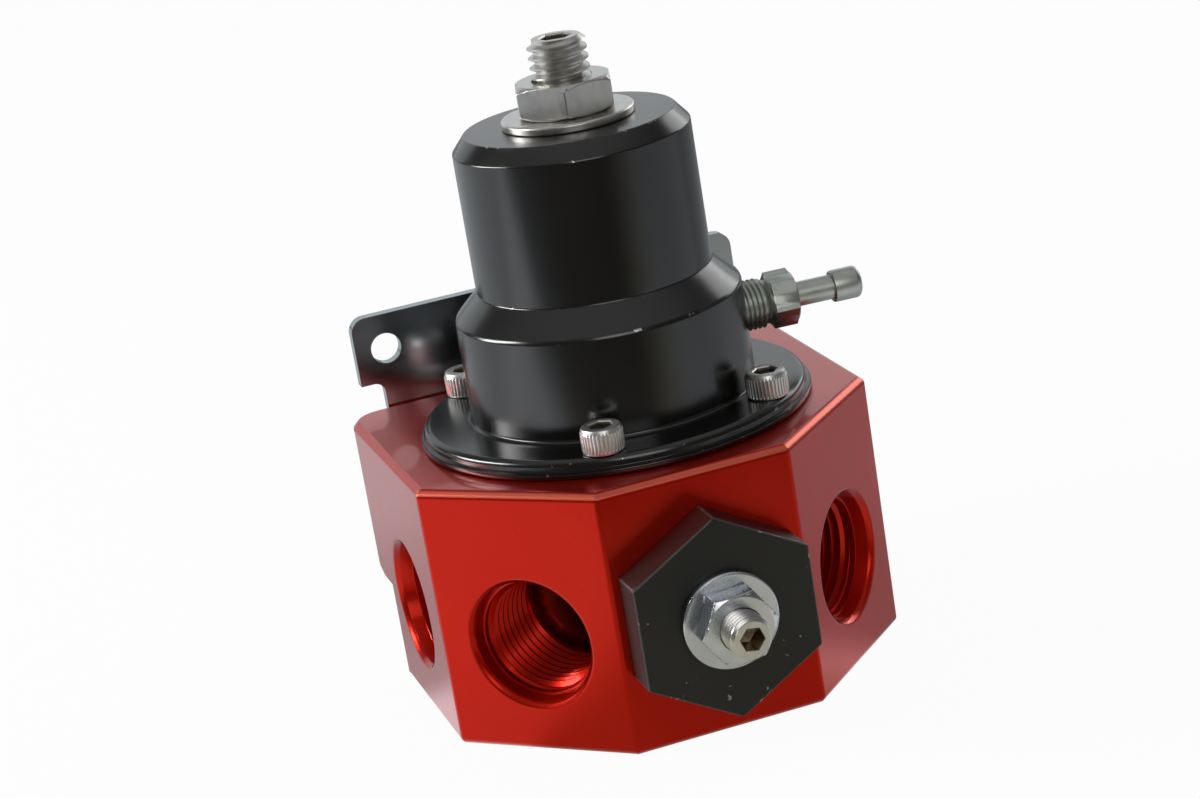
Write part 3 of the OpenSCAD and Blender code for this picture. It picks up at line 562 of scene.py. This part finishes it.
flange_edges = ((0.0374, 0.0511), (0.0374, 0.0521), (0.0364, 0.0535))
shoulder_edges = ((0.0271, 0.0737), (0.0223, 0.0784))
top_edges = ((0.0223, 0.1050), (0.0198, 0.1080))
turned_edges = (*flange_edges, *shoulder_edges, *top_edges)
near = nearest([(radius - r).reach(up - z) for r, z in turned_edges])
nick = (near < 0.0003) * (black.noise(spot, 420.0, 3.0, 0.7) > 0.66)
rub = (near < 0.0007) * (black.noise(spot, 130.0, 3.0) > 0.6)
coat = black.blend(cloud, (0.0032, 0.0030, 0.0025, 1), (0.0055, 0.0052, 0.0046, 1))
coat = black.blend(rub * 0.25, coat, (0.06, 0.06, 0.06, 1))
black.feed("Base Color", black.blend(nick, coat, (0.55, 0.54, 0.52, 1)))
black.feed("Metallic", nick)
black.feed("Roughness", 0.15 + cloud * 0.06 + grain * 0.05)
black.bump(tool * 0.7 + grain * 0.3, 0.1, 0.00003)
dress("bonnet", black, edge=0.00022, limit=12.0, clamp=False)

# Flange screws: four socket cap screws down through the flange into the body.
# Stainless steel, knurled round the head, with a hexagon socket coloured darker brown inside.
screw_circle, screw_angles = 0.0324, [math.radians(a) for a in (-21.6, 44.4, 158.4, 224.4)]
centres = [(screw_circle * math.sin(a), -screw_circle * math.cos(a)) for a in screw_angles]
stainless = finish("stainless", Metallic=1.0)
spot = stainless.place()
cloud = stainless.noise(spot, 420.0, 3.0)
grain = stainless.noise(spot, 3000.0, 2.0)
stain = stainless.noise(spot, 160.0, 3.0)
near = nearest([(spot.part(0) - x).reach(spot.part(1) - y) for x, y in centres])
# The inside of each screw's socket is coloured darker brown.
socket_darkening = (near < 0.0024) * (1 - spot.part(2).between(0.0584, 0.0589))
steel = stainless.ramp(stain, (0.3, (0.66, 0.65, 0.62)), (0.6, (0.8, 0.79, 0.77)))
socket_brown = (0.2, 0.13, 0.07, 1)
stainless.feed("Base Color", stainless.blend(socket_darkening * (0.6 + stain * 0.4), steel, socket_brown))
stainless.feed("Roughness", 0.3 + cloud * 0.16)
stainless.bump(grain, 0.08, 0.00003)

flange_top, shank_r, shank_end = 0.0543, 0.0024, -0.0155
head_r, head_h, socket_flats = 0.00396, 0.00483, 0.00397
knurls, groove_form, groove_depth = 34, (0.0, 0.0, 0.2, 1.0, 1.0, 0.2), 0.0003
head_sides = knurls * len(groove_form)


def knurled(r, z):
    points = []
    for i in range(head_sides):
        angle = math.tau * i / head_sides
        cut_r = r - groove_depth * groove_form[i % len(groove_form)]
        points.append((cut_r * math.cos(angle), cut_r * math.sin(angle), z))
    return points


def hexagon(across, z, sides, turn=0.0):
    points = []
    for i in range(sides):
        angle = math.tau * i / sides
        bend = (angle + math.pi / 6) % (math.pi / 3) - math.pi / 6
        r = across / 2 / math.cos(bend)
        points.append((r * math.cos(angle + turn), r * math.sin(angle + turn), z))
    return points


def hexagons(sides, turn, *rows):
    return [hexagon(across, z, sides, turn) for across, z in rows]


shank = ((0.0019, shank_end), (shank_r, shank_end + 0.0005), (shank_r, 0.0))
under_head = ((head_r - 0.0004, 0.0), (head_r - 0.00012, 0.00012), (head_r - 0.00008, 0.0004))
crown = ((0.00016, 0.0008), (0.00022, 0.00045), (0.0004, 0.00015), (0.0007, 0.0))
socket_rows = ((0.00435, head_h), (socket_flats, head_h - 0.0002), (socket_flats, head_h * 0.45))
head_rings = circles(head_sides, *shank, *under_head)
head_rings += [knurled(head_r, 0.0006), knurled(head_r, head_h - 0.0010)]
head_rings += circles(head_sides, *((head_r - inset, head_h - drop) for inset, drop in crown))
head_rings += hexagons(head_sides, 0.0, *socket_rows)
head_rings += circles(head_sides, (0.0004, head_h * 0.36))
for number, ((x, y), angle) in enumerate(zip(centres, screw_angles), 1):
    stopped_at = Matrix.Rotation(angle * 3.1, 4, "Z")
    screw = Mesh(f"cap_screw_{number}", Matrix.Translation((x, y, flange_top)) @ stopped_at)
    screw.stack(head_rings)
    screw.make(stainless, "housing", ("flange_screws",), smooth=30.0)

# Adjusting screw: a coarse socket set screw through the bonnet's top that presses on the spring button.
# Bright machined steel, its socket coloured darker brown inside; a jam nut on a flat washer locks it.
tuner_height = 0.0249
bright = finish("bright_steel", Metallic=1.0)
spot = bright.place()
drag = bright.noise(bright.stretch(spot, (900.0, 900.0, 120.0)), 1.0, 3.0)
cloud = bright.noise(spot, 210.0, 3.0)
grain = bright.noise(spot, 2800.0, 2.0)
east, out, up = spot.part(0), spot.part(1), spot.part(2)
# The insides of the adjusting screw's and the needle screw's sockets are coloured darker brown.
top_socket = (east.reach(out) < 0.0031) * (up > 0.1164) * (up < 0.1232)
front_socket = (east.reach(up - tuner_height) < 0.0023) * (out > -0.0617) * (out < -0.056)
sockets_darkened = (top_socket + front_socket).least(1.0) * 0.8
shaded, clean, dull = (0.54, 0.52, 0.48), (0.68, 0.67, 0.64), (0.62, 0.59, 0.54)
machined = bright.ramp(cloud, (0.3, shaded), (0.55, clean), (0.8, dull))
bright.feed("Base Color", bright.blend(sockets_darkened, machined, (0.24, 0.16, 0.07, 1)))
bright.feed("Roughness", 0.22 + drag * 0.14 + cloud * 0.06)
bright.bump(drag * 0.6 + grain * 0.4, 0.12, 0.00004)

screw_pitch, screw_sides, key_turn = inch / 14, 48, 0.25
screw_low, screw_high, minor_r, major_r, nose_r = 0.0818, 0.1236, 0.00446, 0.00553, 0.00433
nose_top = screw_low + 0.002
nose = ((0.0005, screw_low), (0.0041, screw_low), (nose_r, screw_low + 0.0003), (nose_r, nose_top))
key_rows = ((0.0059, screw_high), (0.0055, screw_high - 0.0003), (0.0055, screw_high - 0.006))
top_rings = circles(screw_sides, (minor_r, screw_high), (0.0042, screw_high))
top_rings += hexagons(screw_sides, key_turn, *key_rows)
top_rings += circles(screw_sides, (0.0004, screw_high - 0.0069))
pressing = Mesh("adjusting_thread")
pressing.stack(circles(screw_sides, *nose, (minor_r, nose_top)), cap_high=False)
pressing.thread(nose_top, screw_high, screw_pitch, minor_r, major_r, screw_sides, 0.6, 0.5)
pressing.stack(top_rings, cap_low=False)
pressing.make(bright, "adjuster", ("adjusting_screw",), smooth=28.0)
dress("adjuster_locknut", bright, edge=0.00018, steps=3, limit=20.0, clamp=False)
dress("adjuster_washer", bright, edge=0.00012, limit=20.0)

# Vacuum barb: the hose tail that leads manifold vacuum to the spring side.
# Nickel-grey plated, tapered thread, milled hexagon and a beaded end; screwed into the bonnet.
barb_height = 0.0654
nickel = finish("barb_nickel", Metallic=1.0)
spot = nickel.place()
pits = nickel.noise(spot, 1500.0, 4.0, 0.7)
cloud = nickel.noise(spot, 260.0, 3.0)
east, north, up = spot.part(0), spot.part(1) + 0.0025, spot.part(2) - barb_height
on_hexagon = (east > 0.0326) * (east < 0.0374) * (north.reach(up) > 0.0042)
one_way, other_way = (east + up) * 10500.0, (east - up) * 10500.0
hatch = (one_way + cloud * 2.0).sine() * (other_way + cloud * 2.0).sine()
milled = on_hexagon * hatch.between(0.0, 0.6)
plated = nickel.ramp(cloud, (0.3, (0.5, 0.53, 0.48)), (0.7, (0.62, 0.65, 0.6)))
nickel.feed("Base Color", nickel.blend(milled * 0.4, plated, (0.2, 0.2, 0.17, 1)))
nickel.feed("Roughness", 0.28 + cloud * 0.1 + pits * 0.1)
nickel.bump(pits * 0.4 - milled * 0.6, 0.3, 0.0001)

barb_turn, barb_pitch = math.radians(-4), inch / 27
bore_r, root_r, crest_r, inner_end, thread_end = 0.0012, 0.00418, 0.00485, 0.0200, 0.0318
flats, face_r, tube_r, bead_r, tip = 0.00953, 0.00462, 0.00238, 0.0031, 0.05086
leading_end = ((bore_r, inner_end), (0.0040, inner_end), (0.00415, inner_end))
neck = ((root_r, thread_end), (0.0041, 0.0324), (face_r, 0.0324))
tube = ((face_r, 0.0376), (0.0026, 0.0376), (tube_r, 0.0379), (tube_r, 0.0453))
bead = ((0.0028, 0.0453), (0.00305, 0.0455), (bead_r, 0.0458), (bead_r, 0.0498), (0.00302, 0.0503))
hose_end = ((0.0028, 0.0506), (0.0024, tip), (0.0013, tip), (bore_r, 0.0507), (bore_r, inner_end))
tail_rings = circles(screw_sides, *neck)
tail_rings += hexagons(screw_sides, 0.2, (flats, 0.0327), (flats, 0.0373))
tail_rings += circles(screw_sides, *tube, *bead, *hose_end)
sideways = Matrix.Rotation(barb_turn, 4, "Z") @ Matrix.Rotation(math.radians(90), 4, "Y")
barb = Mesh("hose_barb", Matrix.Translation((0, 0, barb_height)) @ sideways)
barb.stack(circles(screw_sides, *leading_end), cap_low=False, cap_high=False)
barb.thread(inner_end, thread_end, barb_pitch, root_r, crest_r, screw_sides, 0.8, 0.9)
barb.stack(tail_rings, cap_low=False, cap_high=False)
barb.make(nickel, "housing", ("vacuum_barb",), smooth=32.0)

# Tuner plug: the hexagonal plug screwed into the front face, which carries the needle.
# Milled aluminium, matte black anodised, bright where its rim and corners were knocked.
plug_half, plug_face, plug_corner, wear_band = 0.01665, -0.05035, 0.01905, 0.00028
matte = finish("black_plug", IOR=1.5)
spot = matte.place()
cloud = matte.noise(spot, 90.0, 3.0)
grain = matte.noise(spot, 2600.0, 3.0)
specks = (matte.noise(spot, 700.0, 2.0) > 0.71) * (matte.noise(spot, 60.0, 2.0) > 0.53)
east, out, up = spot.part(0), spot.part(1), spot.part(2) - tuner_height
leaning = up * math.cos(math.radians(30))
from_axis = east.size().most((east * 0.5 + leaning).size()).most((east * 0.5 - leaning).size())
rim_edge = (plug_half - from_axis < wear_band) * ((out - plug_face).size() < wear_band)
corner = east.reach(up) > plug_corner
scuff = matte.noise(spot, 300.0, 4.0, 0.75)
knocked = (rim_edge + corner).least(1.0) * (0.12 + (scuff > 0.62) * 0.7)
worn = (specks * 0.6 + knocked).least(1.0)
base = matte.blend(cloud, (0.009, 0.009, 0.0082, 1), (0.016, 0.016, 0.0148, 1))
matte.feed("Base Color", matte.blend(worn, base, (0.42, 0.42, 0.4, 1)))
matte.feed("Metallic", 0.15 + worn * 0.6)
matte.feed("Roughness", 0.3 + cloud * 0.12 + grain * 0.08)
matte.bump(grain, 0.12, 0.00003)
dress("tuner_plug", matte, edge=0.0002, limit=20.0, clamp=False)

# Tuner nut and washer: they lock the needle screw on the plug's face.
# Steel, bright zinc plated; the nut runs on the needle screw's thread.
zinc = finish("zinc", Metallic=1.0)
spot = zinc.place()
cloud = zinc.noise(spot, 260.0, 3.0)
grain = zinc.noise(spot, 2200.0, 3.0)
zinc.feed("Base Color", zinc.ramp(cloud, (0.3, (0.57, 0.6, 0.63)), (0.7, (0.7, 0.735, 0.77))))
zinc.feed("Roughness", 0.17 + cloud * 0.14 + grain * 0.05)
zinc.bump(grain, 0.12, 0.00004)
dress("tuner_locknut", zinc, edge=0.00015, steps=3, limit=20.0, clamp=False)
dress("tuner_washer", zinc, edge=0.00012, limit=20.0)

# Needle screw: the fine set screw through the plug, whose tapered point meters the bypass.
# Bright machined steel with a grooved collar for its O-ring and a hexagon socket in its end.
needle_pitch, needle_minor, needle_major = inch / 24, 0.0033, 0.00395
needle_end, needle_key_turn, thread_start, collar_r, groove_r = 0.0198, 0.35, -0.0052, 0.0049, 0.00340
needle_key = ((0.0042, needle_end), (0.00397, 0.0196), (0.00397, 0.0153))
point = ((0.0003, -0.0220), (0.00077, -0.0220), (0.0022, -0.0140), (0.0022, -0.0125))
collar = ((collar_r, -0.0125), (collar_r, -0.0111), (groove_r, -0.0111))
collar += ((groove_r, -0.0093), (collar_r, -0.0093), (collar_r, -0.0080))
stalk = ((needle_minor, -0.0080), (needle_minor, thread_start))
end_rings = circles(screw_sides, (needle_minor, needle_end))
end_rings += hexagons(screw_sides, needle_key_turn, *needle_key)
end_rings += circles(screw_sides, (0.0004, 0.0147))
needle = Mesh("needle_screw", facing(0, (0, octagon_y - half_flats, tuner_height)))
needle.stack(circles(screw_sides, *point, *collar, *stalk), cap_high=False)
needle.thread(thread_start, needle_end, needle_pitch, needle_minor, needle_major, screw_sides, 0.7, 0.6)
needle.stack(end_rings, cap_low=False)
needle.make(bright, "needle", ("tuning_screw",), smooth=28.0)

# Bracket: the flat plate behind the body that bolts the regulator to the car.
# Laser-cut steel, polished and bright zinc plated, held by two countersunk screws.
plate = finish("bright_plate", Metallic=1.0)
spot = plate.place()
roll = plate.noise(plate.stretch(spot, (60.0, 60.0, 900.0)), 1.0, 3.0)
cloud = plate.noise(spot, 70.0, 2.0)
plate.feed("Base Color", plate.blend(cloud, (0.33, 0.36, 0.38, 1), (0.4, 0.43, 0.45, 1)))
plate.feed("Roughness", 0.13 + roll * 0.08 + cloud * 0.05)
plate.bump(roll, 0.06, 0.00004)
dress("bracket", plate, edge=0.0003, steps=3)

# Bracket screws: two countersunk socket screws through the plate into the body's back pad.
# Stainless steel, their heads flush with the plate.
half_pitch, plate_back, fixing_height = 0.028, 0.0403, 0.036
fixing_r, fixing_key = 0.00207, 0.0024
fixing_shank = ((0.0014, -0.0120), (fixing_r, -0.0114), (fixing_r, -0.00205))
fixing_head = ((0.00382, -0.00010), (0.00378, -0.00003), (0.0037, 0.0))
fixing_socket = ((0.0026, 0.0), (fixing_key, -0.0002), (fixing_key, -0.0014))
fixing_rings = circles(screw_sides, *fixing_shank, *fixing_head)
fixing_rings += hexagons(screw_sides, 0.0, *fixing_socket)
fixing_rings += circles(screw_sides, (0.0003, -0.0018))
for side, across in (("left", -half_pitch), ("right", half_pitch)):
    seat = facing(180, (across, plate_back, fixing_height)) @ Matrix.Rotation(across * 20, 4, "Z")
    fixing = Mesh("countersunk_screw_" + side, seat)
    fixing.stack(fixing_rings)
    fixing.make(stainless, "housing", ("bracket_screws",), smooth=30.0)
